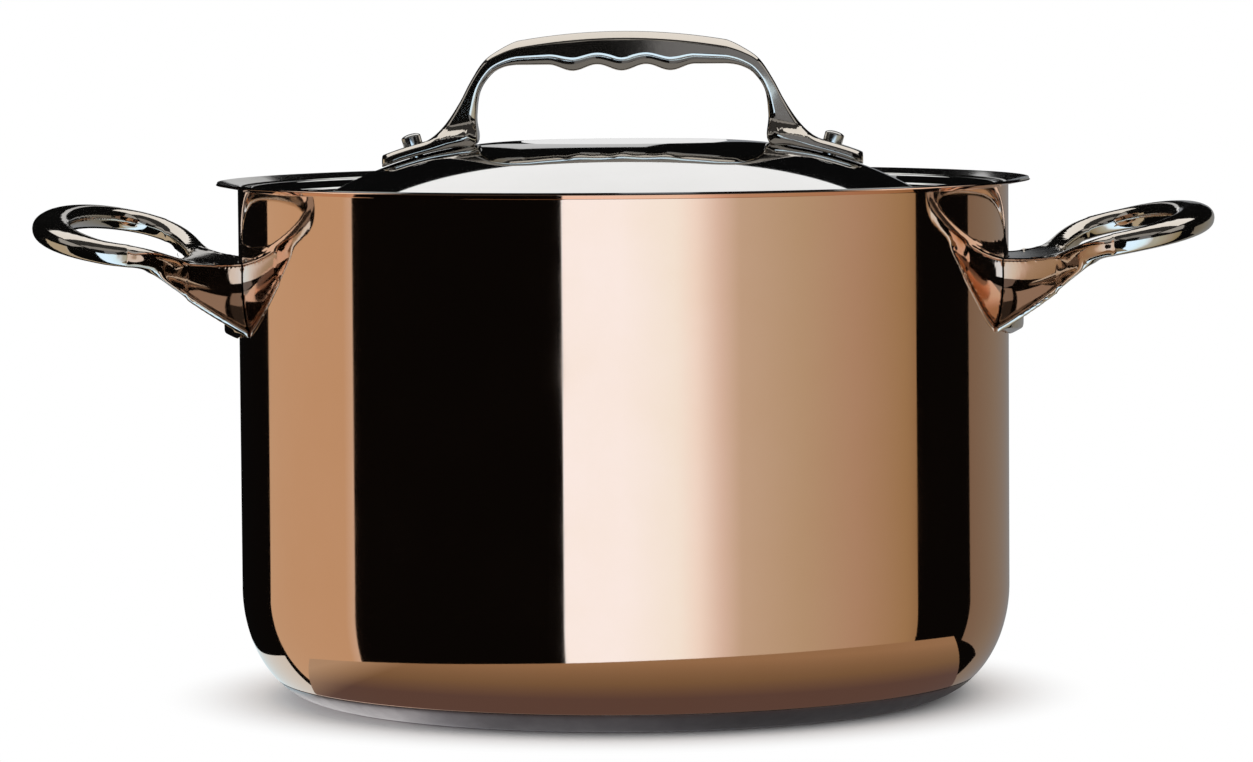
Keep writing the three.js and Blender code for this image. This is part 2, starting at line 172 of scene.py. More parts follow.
# %% [markdown]
# ## Steels
#
# Five steels are on this pot. The lining and the plate under the base are stainless sheet with a
# turned satin face: fine rings round the axis, which blur a reflection. The lid is the same sheet
# polished to a mirror. The handles are cast, then tumbled and buffed, so they keep a slight
# orange-peel skin with a grain of about 2 mm. The rivets are turned and left plain. The five differ
# by colour, roughness and relief, so one function makes them all from those values.


# %% Satin and polished steel
def steel(name, colours, roughness, grain, grain_depth, ring_spacing=0, ring_depth=0):
    """Stainless steel with a grain in millimetres and, where it was turned, rings round Z."""
    pale, deep = colours
    rough_low, rough_high = roughness
    cloud_size = 12 * grain
    made = bpy.data.materials.new(name)
    made.use_nodes = True
    tree = made.node_tree
    shader = tree.nodes["Principled BSDF"]
    shader.inputs["Metallic"].default_value = 1
    place = add_node(tree, "ShaderNodeTexCoord").outputs["Object"]
    cloud = add_node(
        tree,
        "ShaderNodeTexNoise",
        {"Vector": place, "Scale": 1 / (cloud_size * mm), "Detail": 4, "Roughness": 0.55},
    )
    tone = add_node(
        tree,
        "ShaderNodeMix",
        {0: cloud.outputs["Fac"], 6: linear(pale), 7: linear(deep)},
        data_type="RGBA",
    )
    gloss = add_node(
        tree,
        "ShaderNodeMapRange",
        {
            "Value": cloud.outputs["Fac"],
            "From Min": 0.3,
            "From Max": 0.7,
            "To Min": rough_low,
            "To Max": rough_high,
        },
    )
    skin = add_node(
        tree,
        "ShaderNodeTexNoise",
        {"Vector": place, "Scale": 1 / (grain * mm), "Detail": 2, "Roughness": 0.4},
    )
    relief = add_node(
        tree,
        "ShaderNodeBump",
        {"Height": skin.outputs["Fac"], "Strength": 0.3, "Distance": grain_depth * mm},
    )
    if ring_spacing:
        rings = add_node(
            tree,
            "ShaderNodeTexWave",
            {
                "Vector": place,
                "Scale": wave_length / (ring_spacing * mm),
                "Distortion": 1.5,
                "Detail": 3,
            },
            wave_type="RINGS",
            rings_direction="Z",
        )
        relief = add_node(
            tree,
            "ShaderNodeBump",
            {
                "Height": rings.outputs["Fac"],
                "Strength": 0.3,
                "Distance": ring_depth * mm,
                "Normal": relief.outputs["Normal"],
            },
        )
    tree.links.new(tone.outputs[2], shader.inputs["Base Color"])
    tree.links.new(gloss.outputs["Result"], shader.inputs["Roughness"])
    tree.links.new(relief.outputs["Normal"], shader.inputs["Normal"])
    print(name, "roughness", rough_low, "to", rough_high)
    return made


lining_steel = steel(
    "satin_lining_steel",
    colours=("D6D4D0", "CAC8C4"),
    roughness=(0.06, 0.1),
    grain=0.6,
    grain_depth=0.001,
    ring_spacing=0.8,
    ring_depth=0.003,
)
plate_steel = steel(
    "satin_plate_steel",
    colours=("A7A1A2", "8F898B"),
    roughness=(0.34, 0.44),
    grain=0.5,
    grain_depth=0.01,
    ring_spacing=0.9,
    ring_depth=0.02,
)
lid_steel = steel(
    "mirror_lid_steel",
    colours=("E2E1E0", "D8D7D5"),
    roughness=(0.02, 0.05),
    grain=2.0,
    grain_depth=0.0005,
)
cast_steel = steel(
    "buffed_cast_steel",
    colours=("DBD2C6", "CBC2B6"),
    roughness=(0.05, 0.09),
    grain=2.2,
    grain_depth=0.008,
)
rivet_steel = steel(
    "turned_rivet_steel",
    colours=("D2D0CC", "BFBDB8"),
    roughness=(0.12, 0.2),
    grain=0.8,
    grain_depth=0.01,
)

# %% [markdown]
# ## A pen for profiles
#
# Pot, lining, base and lid are all turned shapes, and a turned shape is a line swung round an axis.
# So the tools here are a pen that draws that line in the XZ plane, and a lathe. `extrude_vert_indiv`
# makes a straight stroke, and `spin` about the Y axis a curved one. An elliptical corner is a round
# one that was squeezed before the spin and stretched after it. Everything is drawn in millimetres
# and brought to metres when a piece is finished.


# %% Pen and lathe
def draw_to(bm, pen, x, z):
    """A straight stroke. Returns the new end of the line."""
    end = bmesh.ops.extrude_vert_indiv(bm, verts=[pen])["verts"][0]
    end.co = (x, 0, z)
    return end


def draw_arc(bm, pen, centre, degrees, steps, stretch=1):
    """A curved stroke about a centre in XZ. Positive degrees turn from +Z to +X."""
    about = Vector((centre[0], 0, centre[1]))
    home = Matrix.Translation(-about)
    older = set(bm.verts)
    bmesh.ops.scale(bm, vec=(1, 1, 1 / stretch), verts=[pen], space=home)
    swung = bmesh.ops.spin(
        bm, geom=[pen], cent=about, axis=(0, 1, 0), angle=math.radians(degrees), steps=steps
    )
    fresh = [v for v in bm.verts if v not in older]
    bmesh.ops.scale(bm, vec=(1, 1, stretch), verts=[pen] + fresh, space=home)
    return [v for v in swung["geom_last"] if isinstance(v, bmesh.types.BMVert)][0]


def turn_round(bm, steps):
    """Swings the drawn lines once round Z and closes the skin."""
    drawn = bm.verts[:] + bm.edges[:]
    bmesh.ops.spin(
        bm, geom=drawn, cent=(0, 0, 0), axis=(0, 0, 1), angle=2 * math.pi, steps=steps, use_merge=True
    )
    bmesh.ops.remove_doubles(bm, verts=bm.verts[:], dist=0.001)
    bmesh.ops.recalc_face_normals(bm, faces=bm.faces[:])


def soften_ring(bm, corner, offset, segments=3):
    """Bevels the ring that a corner of the profile, given as (x, z), left after turning."""

    def on_ring(vert):
        return abs(vert.co.xy.length - corner[0]) < 0.01 and abs(vert.co.z - corner[1]) < 0.01

    ring = [e for e in bm.edges if all(on_ring(v) for v in e.verts)]
    bmesh.ops.bevel(
        bm, geom=ring, offset=offset, segments=segments, profile=0.5, affect="EDGES", material=-1
    )


lathe_steps = 192
print("lathe steps:", lathe_steps)

# %% [markdown]
# ## From bmesh to piece
#
# Every piece ends the same way: it is scaled to metres, given its metal, smoothed with sharp edges
# where faces meet at an angle, and parented to an empty for its body, so it moves with that body,
# and the coarse solid that it stands for is hidden. The first half of that also serves the floor and
# what lies on it.


# %% Finish a piece
def to_object(bm, name, material):
    """Turns a bmesh in millimetres into an object in metres."""
    bmesh.ops.scale(bm, vec=(mm, mm, mm), verts=bm.verts[:])
    mesh = bpy.data.meshes.new(name)
    bm.to_mesh(mesh)
    bm.free()
    mesh.materials.append(material)
    made = bpy.data.objects.new(name, mesh)
    bpy.context.scene.collection.objects.link(made)
    return made


def finish_piece(bm, name, metal, body, node, sharp=40):
    """Makes a piece that rides on a body and replaces a CAD node."""
    piece = to_object(bm, name, metal)
    piece.data.shade_smooth()
    piece.data.set_sharp_from_angle(angle=math.radians(sharp))
    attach(piece, body)
    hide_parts(node)
    print(name, len(piece.data.polygons), "faces")


# %% [markdown]
# ## The copper pot
#
# One skin of the pot runs from the middle of its floor over a rounded corner, up the wall and over
# the fold into the lip. Copper and lining are both made of such skins, a little apart, so a function
# draws one at any inset from the copper's outside. Only the copper's own outside is different. It
# turns sharply into the lip, which gets thinner towards its edge. Where the steel plate covers the
# copper the outside steps in, and the step is the seam that shows above the base.

# %% Copper pot
wall_radius = 122
rim_height = 163.7
copper_thickness = 1.5
bond_gap = 0.1
lining_thickness = 0.4
plate_thickness = 1.5
seam_height = 6.8
corner_reach = 25.2
corner_height = 35
lip_reach = 6.9
lip_fold = 1
lip_slope = 13
lip_corner = 161.6
lip_under = 162.9
corner_steps = 24
fold_steps = 10
seam_steps = 8

floor_radius = wall_radius - corner_reach
fold_radius = wall_radius + lip_fold
slope_cos = math.cos(math.radians(lip_slope))
slope_sin = math.sin(math.radians(lip_slope))
lip_run = (lip_reach - lip_fold + lip_fold * slope_sin) / slope_cos
pot_inset = copper_thickness + bond_gap + lining_thickness
fold_height = rim_height - (lip_fold + pot_inset) * slope_cos - lip_run * slope_sin
corner_middle = (floor_radius, corner_height)


def draw_skin(bm, inset):
    """Draws a skin inside the copper's outside and returns the end of its line at the lip."""
    floor = plate_thickness + inset
    pen = draw_to(bm, bm.verts.new((0, 0, floor)), floor_radius, floor)
    stretch = (corner_height - floor) / (corner_reach - inset)
    pen = draw_arc(bm, pen, corner_middle, -90, corner_steps, stretch)
    pen = draw_to(bm, pen, wall_radius - inset, fold_height)
    pen = draw_arc(bm, pen, (fold_radius, fold_height), 90 - lip_slope, fold_steps)
    return draw_to(bm, pen, pen.co.x + lip_run * slope_cos, pen.co.z + lip_run * slope_sin)


seam_depth = corner_height - plate_thickness
seam_turn = math.degrees(math.acos((corner_height - seam_height) / seam_depth))
outer_turn = math.degrees(math.acos((corner_height - seam_height) / corner_height))
seam_radius = floor_radius + corner_reach * math.sin(math.radians(outer_turn))

bm = bmesh.new()
pen = draw_to(bm, bm.verts.new((0, 0, plate_thickness)), floor_radius, plate_thickness)
pen = draw_arc(bm, pen, corner_middle, -seam_turn, seam_steps, seam_depth / corner_reach)
pen = draw_to(bm, pen, seam_radius, seam_height)
pen = draw_arc(bm, pen, corner_middle, outer_turn - 90, corner_steps, corner_height / corner_reach)
pen = draw_to(bm, pen, wall_radius, lip_corner)
lip_outside = draw_to(bm, pen, wall_radius + lip_reach, lip_under)
lip_inside = draw_skin(bm, copper_thickness)
bmesh.ops.contextual_create(bm, geom=[lip_outside, lip_inside])
lip_edge = (lip_outside.co.x, lip_outside.co.z)
turn_round(bm, lathe_steps)
soften_ring(bm, lip_edge, offset=0.1)
soften_ring(bm, (wall_radius, lip_corner), offset=0.25)
soften_ring(bm, (seam_radius, seam_height), offset=0.3)
finish_piece(bm, "copper_pot", copper, "pot", "copper_shell")

# %% [markdown]
# ## Lining and base
#
# The lining is drawn with the same skin function, so it can't drift away from the copper. The base
# is a shallow steel dish: flat underneath, curved up at its edge along the pot's own corner.

# %% Lining
bm = bmesh.new()
lining_outside = draw_skin(bm, copper_thickness + bond_gap)
lining_inside = draw_skin(bm, pot_inset)
bmesh.ops.contextual_create(bm, geom=[lining_outside, lining_inside])
turn_round(bm, lathe_steps)
finish_piece(bm, "pot_lining", lining_steel, "pot", "steel_lining")

# %% Base plate
dish_depth = seam_depth + bond_gap
dish_reach = corner_reach + bond_gap
dish_edge = corner_height - dish_depth * math.cos(math.radians(seam_turn))
edge_turn = math.degrees(math.acos((corner_height - dish_edge) / corner_height))
edge_steps = 12

bm = bmesh.new()
pen = draw_to(bm, bm.verts.new((0, 0, 0)), floor_radius, 0)
edge_outside = draw_arc(bm, pen, corner_middle, -edge_turn, edge_steps, corner_height / corner_reach)
dish_floor = plate_thickness - bond_gap
pen = draw_to(bm, bm.verts.new((0, 0, dish_floor)), floor_radius, dish_floor)
edge_inside = draw_arc(bm, pen, corner_middle, -seam_turn, edge_steps, dish_depth / dish_reach)
bmesh.ops.contextual_create(bm, geom=[edge_outside, edge_inside])
plate_edge = (edge_outside.co.x, edge_outside.co.z)
turn_round(bm, lathe_steps)
soften_ring(bm, plate_edge, offset=0.4)
finish_piece(bm, "base_dish", plate_steel, "pot", "base_plate")

# %% [markdown]
# ## The lid
#
# The lid is pressed from one sheet: a flat crown, a long shoulder, a shallow trough and a brim that
# rests on the fold of the lip. Again two lines a sheet's thickness apart are drawn and turned. A
# press never makes a sharp bend, so each ring where the line turns is bevelled afterwards.

# %% Lid
crown_height = 175.6
crown_radius = 32
shoulder_radius = 126
lid_thickness = 1
brim_overlap = 0.3
brim_width = 2.6
step_run = 1.6
trough_depth = 3
seat_gap = 0.3
dome_steps = 48

lid_radius = wall_radius - pot_inset + brim_overlap
seat_rise = math.sqrt((lip_fold + pot_inset) ** 2 - (fold_radius - lid_radius) ** 2)
brim_top = fold_height + seat_rise + seat_gap + lid_thickness
trough_top = brim_top - trough_depth
shoulder_middle = (crown_radius, crown_height - shoulder_radius)


def draw_lid(bm, depth):
    """Draws one face of the sheet and returns the line's end and the places where it bends."""
    crown = crown_height - depth
    pen = draw_to(bm, bm.verts.new((0, 0, crown)), crown_radius, crown)
    drop = (shoulder_radius - crown_height + trough_top - depth) / (shoulder_radius - depth)
    pen = draw_arc(bm, pen, shoulder_middle, math.degrees(math.acos(drop)), dome_steps)
    bends = [(pen.co.x, pen.co.z)]
    step = lid_radius - brim_width - step_run + depth / 2
    for x, height in ((step, trough_top), (step + step_run, brim_top)):
        pen = draw_to(bm, pen, x, height - depth)
        bends.append((x, height - depth))
    return draw_to(bm, pen, lid_radius, brim_top - depth), bends


bm = bmesh.new()
upper_end, upper_bends = draw_lid(bm, 0)
lower_end, lower_bends = draw_lid(bm, lid_thickness)
bmesh.ops.contextual_create(bm, geom=[upper_end, lower_end])
turn_round(bm, lathe_steps)
for bend in upper_bends + lower_bends:
    soften_ring(bm, bend, offset=0.6, segments=4)
soften_ring(bm, (lid_radius, brim_top), offset=0.3)
finish_piece(bm, "lid_dome", lid_steel, "lid", "lid_shell")


def lid_height(x, y=0):
    """Height of the lid's upper face over a point."""
    out = max(0, math.hypot(x, y) - crown_radius)
    return crown_height - shoulder_radius + math.sqrt(shoulder_radius**2 - out**2)


# %% [markdown]
# ## The lid handle
#
# The handle is one bent bar: foot, arm, arch, grip, and the same again. Bars like this are made
# from rings of points that follow the bend, each joined to the next with `bridge_loops`. A ring is a
# rectangle with its edges cut off at a slant. The upper cut makes the bright band along the grip,
# the lower one the grey band over the fingers. Close to the lid the sides flare out to the width of
# the foot, so each side of a ring has several points. Three finger bumps under the grip are a cosine
# wave.


# %% Bars from rings
def shaped_ring(bm, spots):
    """A closed ring of edges through the given points."""
    ring = bmesh.ops.create_circle(bm, segments=len(spots), radius=1)["verts"]
    for vert, spot in zip(ring, spots):
        vert.co = spot
    return list(dict.fromkeys(e for v in ring for e in v.link_edges))


def bridge_rings(bm, rings, closed=False):
    """Joins each ring to the next. A bar that isn't closed to a loop gets two end caps."""
    for here, there in zip(rings, rings[1:]):
        bmesh.ops.bridge_loops(bm, edges=here + there)
    if closed:
        bmesh.ops.bridge_loops(bm, edges=rings[-1] + rings[0])
    else:
        for end in (rings[0], rings[-1]):
            bmesh.ops.contextual_create(bm, geom=end)


def mix(a, b, share):
    """The value a share of the way from a to b."""
    return a + (b - a) * share


def through(a, b, c, d, share):
    """A point between b and c on a smooth curve that comes from a and goes on to d."""
    bend = 2 * a - 5 * b + 4 * c - d + share * (3 * (b - c) + d - a)
    return b + share / 2 * (c - a + share * bend)


print("halfway on a smooth curve:", through(0, 1, 2, 3, 0.5))

# %% Lid handle stations
grip_top = 210.4
grip_thickness = 10.4
grip_crown = 2.9
grip_width = 21
opening_half = 46.3
foot_reach = 76
foot_thickness = 4
foot_flare = 4
flare_top = 7
ankle_width = 18
bump_pitch = 15.4
bump_depth = 2
bump_count = 3
top_cut = 2.3
foot_cut = 1.2
foot_round = 4
ankle_reach = 63
grip_half = 33.1
grip_under = grip_top - grip_thickness


def bump(x):
    """How far the finger bumps hang down under the grip."""
    inside = abs(x) < bump_count * bump_pitch / 2
    return bump_depth * (1 + math.cos(2 * math.pi * x / bump_pitch)) / 2 if inside else 0


def on_foot(x):
    """Outer and inner point of the foot at a distance from the middle."""
    return x, lid_height(x) + foot_thickness, x, lid_height(x) + seat_gap


# Outer point, inner point, width and upper cut, from the foot up the arm to the grip.
arm = [
    (*on_foot(ankle_reach + 6), ankle_width, foot_cut),
    (*on_foot(ankle_reach), ankle_width, foot_cut),
    (59.2, 178, 54, lid_height(54) + seat_gap, ankle_width, foot_cut),
    (55.3, 182.2, opening_half, lid_height(opening_half) + seat_gap, ankle_width, 0.9),
    (51.2, 188.5, opening_half, 183.5, ankle_width, 0.6),
    (47.8, 194.9, 45.2, 191.5, 18.4, 0.6),
    (43.6, 201.2, 41.6, 196.9, 19.2, 0.8),
    (38.5, 204.9, 37.6, 199.2, 20.2, 1.5),
    (grip_half, grip_top - grip_crown, grip_half, grip_under, grip_width, top_cut),
    (28, 208.4, 28, grip_under, grip_width, top_cut),
]
round_steps = 6
foot_steps = 5
arm_steps = 6
grip_steps = 96


def half_bar():
    """Stations from foot to arch: an outer point, an inner point, a width and a cut."""
    for i in range(round_steps + 1):
        turn = math.pi / 2 * i / round_steps
        x = foot_reach - foot_round * (1 - math.cos(turn))
        yield *on_foot(x), ankle_width - 2 * foot_round * (1 - math.sin(turn)), foot_cut
    for i in range(1, foot_steps):
        x = mix(foot_reach - foot_round, ankle_reach, i / foot_steps)
        yield *on_foot(x), ankle_width, foot_cut
    for four in zip(arm, arm[1:], arm[2:], arm[3:]):
        for i in range(arm_steps):
            yield [through(*run, i / arm_steps) for run in zip(*four)]


half = list(half_bar())
grip = []
for i in range(grip_steps + 1):
    x = mix(grip_half, -grip_half, i / grip_steps)
    top = grip_top - grip_crown * (x / grip_half) ** 2
    grip.append((x, top, x, grip_under - bump(x), grip_width, top_cut))
other = [(-ox, oz, -ix, iz, width, cut) for ox, oz, ix, iz, width, cut in reversed(half)]
stations = half + grip + other
print("lid handle stations:", len(stations))


# %% Lid handle
# Sides lean by the draft for each millimetre of height. A cut runs in by its slant for each
# millimetre that it is high.
draft = 0.13
cut_slant = 1.8
low_slant = 0.45
low_cut = 3.7
low_cut_limit = 0.32
side_steps = 12
flare_power = 1.3


def flare(x, z):
    """How far the side stands out at a height over the lid."""
    share = (flare_top - z + lid_height(x)) / (flare_top - foot_thickness)
    share = min(1, max(0, share))
    return foot_flare * share**flare_power


def bar_ring(bm, ox, oz, ix, iz, width, cut):
    """A ring of points round one station of the bar. Its sides lean in by the casting draft."""
    top = Vector((ox, 0, oz))
    bottom = Vector((ix, 0, iz))
    thickness = (bottom - top).length
    low = min(low_cut, thickness * low_cut_limit)

    def on_side(below, inset):
        """A point of the side, so far below the top."""
        spot = top.lerp(bottom, below / thickness)
        lean = draft * (grip_thickness - below)
        spot.y = width / 2 - lean - inset + flare(spot.x, spot.z)
        return spot

    front = [on_side(0, cut_slant * cut)]
    for i in range(side_steps + 1):
        front.append(on_side(mix(cut, thickness - low, i / side_steps), 0))
    front.append(on_side(thickness, low_slant * low))
    rear = [Vector((spot.x, -spot.y, spot.z)) for spot in reversed(front)]
    return shaped_ring(bm, front + rear)


corner_angle = math.radians(25)
bm = bmesh.new()
rings = [bar_ring(bm, *station) for station in stations]
bridge_rings(bm, rings)
bmesh.ops.recalc_face_normals(bm, faces=bm.faces[:])
across = {e for ring in rings for e in ring}
along = [e for e in bm.edges if e not in across and e.calc_face_angle(0) > corner_angle]
bmesh.ops.bevel(
    bm, geom=along, offset=0.5, segments=2, profile=0.5, affect="EDGES", material=-1
)
finish_piece(bm, "lid_bail", cast_steel, "lid", "lid_handle", sharp=50)

# %% [markdown]
# ## The side handles
#
# Each side handle is one casting: a loop for the fingers, a flared hood that is hollow underneath,
# with a bead along its lower edges, and a flange bent to the wall. They are built apart, because each
# is simple alone: loop and beads from bridged rings, hood and flange from grids that are bent into
# shape and then given thickness. A voxel remesh melts them into one skin, as casting does, and
# smoothing rounds the joins. The two castings don't sit quite alike: each loop is rolled a little.

# %% Shape of a side handle
loop_inner = 136
loop_outer = 180.4
loop_side = 58.5
loop_power = 2.2
loop_slope = 0.225
loop_start_height = 137.8
loop_dip = 5
dip_length = 16
rail_width = 8
rail_height = 6.6
tip_width = 12.4
tip_height = 8
neck_length = 18
neck_top = 138.5
root_top_half = 27
root_foot_half = 37
root_foot = 117
root_flare = 1.6
root_pinch = 5
side_hollow = 4.5
edge_bulge = 1.6
bead_width = 2.6
loop_roll = {"left": math.radians(2.1), "right": math.radians(0.3)}

loop_middle = (loop_inner + loop_outer) / 2
loop_half = (loop_outer - loop_inner) / 2
hole_edge = wall_radius + neck_length
root_end = hole_edge + rail_width / 2
root_start = math.sqrt(wall_radius**2 - root_foot_half**2)


def loop_height(x):
    """Height of the loop's middle line, which dips where it runs into the hood."""
    sunk = max(0, loop_inner + dip_length - x) / dip_length
    return loop_start_height + loop_slope * (x - wall_radius) - loop_dip * sunk**2


def squircle(turn, power):
    """Cosine and sine of a slightly squared circle."""
    pair = math.cos(turn), math.sin(turn)
    return [math.copysign(abs(s) ** (2 / power), s) for s in pair]


def loop_point(turn):
    """A point of the loop's middle line."""
    across, along = squircle(turn, loop_power)
    x = loop_middle + loop_half * across
    return Vector((x, loop_side * along, loop_height(x)))


def loop_spread(x):
    """How far the loop's middle line stands out to either side."""
    across = abs(x - loop_middle) / loop_half
    return loop_side * (1 - across**loop_power) ** (1 / loop_power)


def share_out(x, start, end):
    """0 up to the start, 1 from the end on, and in step between them."""
    return min(1, max(0, (x - start) / (end - start)))


def neck_height(x):
    """Height of the hood's top."""
    rise = loop_height(hole_edge) + rail_height / 3 - neck_top
    return neck_top + rise * share_out(x, wall_radius, hole_edge) ** 2


def root_under(x):
    """Height of the hood's lower edge."""
    share = share_out(x, root_start, root_end)
    straight = mix(root_foot, loop_height(root_end) - rail_height / 2, share)
    return straight - 4 * edge_bulge * share * (1 - share)


print("loop from", loop_inner, "to", loop_outer, "spread at the root", round(loop_spread(root_end), 1))


# %% Loop of a side handle
loop_stations = 128
section_steps = 32
section_power = 2.35
look_ahead = 0.02


def section(bm, spot, ahead, width, height, power):
    """A ring of points that stands upright across the way ahead."""
    heading = math.atan2(ahead.y, ahead.x) - math.pi / 2
    stand = (
        Matrix.Translation(spot)
        @ Matrix.Rotation(heading, 4, "Z")
        @ Matrix.Rotation(math.pi / 2, 4, "X")
        @ Matrix.Diagonal((width / 2, height / 2, 1, 1))
    )
    turns = [2 * math.pi * i / section_steps for i in range(section_steps)]
    return shaped_ring(bm, [stand @ Vector((*squircle(turn, power), 0)) for turn in turns])


def loop_bar(bm):
    """The loop, thickest at its tip."""
    rings = []
    for i in range(loop_stations):
        turn = 2 * math.pi * i / loop_stations
        ahead = loop_point(turn + look_ahead) - loop_point(turn - look_ahead)
        at_tip = (1 + math.cos(turn)) / 2
        width = mix(rail_width, tip_width, at_tip)
        height = mix(rail_height, tip_height, at_tip)
        rings.append(section(bm, loop_point(turn), ahead, width, height, section_power))
    bridge_rings(bm, rings, closed=True)


print("loop stations:", loop_stations)


# %% Hood and flange of a side handle
hood_steps = 48
top_share = 0.35
hood_wall = 5
flange_thickness = 4.4
flange_bottom = 113.6
flange_margin = 1.5
flange_slant = 2.6
slant_top = root_foot + 1


def hole_limit(y):
    """Where the finger hole begins, across the handle: the hood stops there."""
    across = min(1, abs(y) / (loop_side - rail_width / 4))
    return loop_middle - (loop_half - rail_width / 4) * (1 - across**loop_power) ** (1 / loop_power)


def side_half(u, down):
    """Half the hood's width: u runs outwards, down from the ridge to the lower edge."""
    spread = u**root_flare
    rail_side = loop_spread(root_end) + 0.4 * rail_width
    top_half = mix(root_top_half, rail_side, spread)
    foot_half = mix(root_foot_half, rail_side, u**2) - root_pinch * u * (1 - u)
    hollow = 4 * side_hollow * (1 - u**2) * down * (1 - down)
    return mix(top_half, foot_half, down) - hollow


def hood_place(u, s):
    """A point of the hood's skin: u runs outwards, s from the front foot over the top to the rear."""
    x = mix(root_start, root_end, u)
    down = max(0, (abs(s) - top_share) / (1 - top_share))
    y = side_half(u, down) * min(1, abs(s) / top_share) * math.copysign(1, s)
    return Vector((min(x, hole_limit(y)), y, mix(neck_height(x), root_under(x), down)))


def grid_verts(bm, across, along):
    """A flat grid from -1 to 1, ready to be bent."""
    return bmesh.ops.create_grid(bm, x_segments=across, y_segments=along, size=1)["verts"]


def thicken(bm, grid, thickness):
    """Gives a bent grid its thickness and returns the vertices of the new face."""
    bent = set(grid)
    faces = [f for f in bm.faces if f.verts[0] in bent]
    bmesh.ops.recalc_face_normals(bm, faces=faces)
    older = set(bm.verts)
    bmesh.ops.solidify(bm, geom=faces, thickness=thickness)
    return [v for v in bm.verts if v not in older]


def hood(bm):
    """The hood. Its inner face is kept above its lower edge."""
    grid = grid_verts(bm, hood_steps, 2 * hood_steps)
    for vert in grid:
        vert.co = hood_place((vert.co.x + 1) / 2, vert.co.y)
    for vert in thicken(bm, grid, hood_wall):
        vert.co.z = max(vert.co.z, root_under(vert.co.x))


def bead(bm, edge):
    """A round bead along one lower edge of the hood."""
    spots = [hood_place(i / hood_steps, edge) for i in range(hood_steps + 1)]
    ahead = [there - here for here, there in zip(spots, spots[1:])]
    rings = [section(bm, *pair, bead_width, bead_width, power=2) for pair in zip(spots, ahead)]
    bridge_rings(bm, rings)


def flange(bm):
    """The plate against the wall. Its outer face is cut off at a slant along the foot."""
    grid = grid_verts(bm, hood_steps, hood_steps // 2)
    inside = wall_radius + seat_gap
    for vert in grid:
        down = (1 - vert.co.y) / 2
        bottom = mix(flange_bottom, root_foot, vert.co.x**2)
        y = vert.co.x * (side_half(0, down) - flange_margin)
        vert.co = (math.sqrt(inside**2 - y**2), y, mix(neck_top, bottom, down))
    for vert in thicken(bm, grid, -flange_thickness):
        low = max(0, slant_top - vert.co.z) / (slant_top - flange_bottom)
        vert.co.z += flange_slant * low


print("hood from", round(root_start, 1), "to", root_end)


# %% Cast the side handles
voxel = 0.6
smooth_rounds = 12
join_start = root_end - 9
join_end = root_end + 7
join_side = 30
join_rounds = 40


def cast(shapes, size, rounds):
    """Melts overlapping shapes into one skin with a voxel remesh and smooths it."""
    rough = bpy.data.meshes.new("rough_casting")
    shapes.to_mesh(rough)
    shapes.free()
    blank = bpy.data.objects.new("rough_casting", rough)
    bpy.context.scene.collection.objects.link(blank)
    melt = blank.modifiers.new("melt", "REMESH")
    melt.mode = "VOXEL"
    melt.voxel_size = size
    ease = blank.modifiers.new("ease", "SMOOTH")
    ease.factor = 0.5
    ease.iterations = rounds
    bpy.context.view_layer.update()
    made = bmesh.new()
    made.from_object(blank, bpy.context.evaluated_depsgraph_get())
    bpy.data.objects.remove(blank)
    bpy.data.meshes.remove(rough)
    return made


for side, angle in (("right", 0), ("left", math.pi)):
    bm = bmesh.new()
    loop_bar(bm)
    hood(bm)
    bead(bm, -1)
    bead(bm, 1)
    flange(bm)
    bmesh.ops.recalc_face_normals(bm, faces=bm.faces[:])
    for vert in bm.verts:
        roll = math.tan(loop_roll[side]) * share_out(vert.co.x, wall_radius, loop_middle)
        vert.co.z += vert.co.y * roll * math.cos(angle)
    bm = cast(bm, voxel, smooth_rounds)
    joins = [v for v in bm.verts if join_start < v.co.x < join_end and abs(v.co.y) > join_side]
    for _ in range(join_rounds):
        bmesh.ops.smooth_vert(
            bm, verts=joins, factor=0.5, use_axis_x=True, use_axis_y=True, use_axis_z=True
        )
    for vert in bm.verts:
        vert.co.xy *= max(1, (wall_radius + seat_gap) / vert.co.xy.length)
    side_turn = Matrix.Rotation(angle, 3, "Z")
    bmesh.ops.rotate(bm, cent=(0, 0, 0), matrix=side_turn, verts=bm.verts[:])
    finish_piece(bm, f"{side}_loop", cast_steel, "pot", f"{side}_handle", sharp=60)

# %% [markdown]
# ## Rivets
#
# A rivet is a turned shape as well: a flat closing head, a shank and a domed head. It is drawn
# standing on Z and then laid in its place, so one function makes all six.


# %% Rivets
rivet_steps = 48
edge_round_steps = 6
dome_round_steps = 12
closing_head = 1.2
straight_share = 0.7


def rivet(shank, head, head_height, start, end):
    """A rivet on Z, from the seat of its closing head to the seat of its domed head."""
    bm = bmesh.new()
    base = start - closing_head
    edge_round = closing_head / 2
    pen = draw_to(bm, bm.verts.new((0, 0, base)), head - edge_round, base)
    pen = draw_arc(bm, pen, (head - edge_round, start - edge_round), -90, edge_round_steps)
    dome = end + straight_share * head_height
    for x, z in ((head, start), (shank, start), (shank, end), (head, end), (head, dome)):
        pen = draw_to(bm, pen, x, z)
    dome_height = (1 - straight_share) * head_height
    draw_arc(bm, pen, (0, dome), -90, dome_round_steps, dome_height / head)
    turn_round(bm, rivet_steps)
    return bm


def stand_on(bm, place, turn):
    """Turns a rivet about Y and moves it to its place."""
    stand = place @ Matrix.Rotation(turn, 4, "Y")
    bmesh.ops.transform(bm, matrix=stand, verts=bm.verts[:])


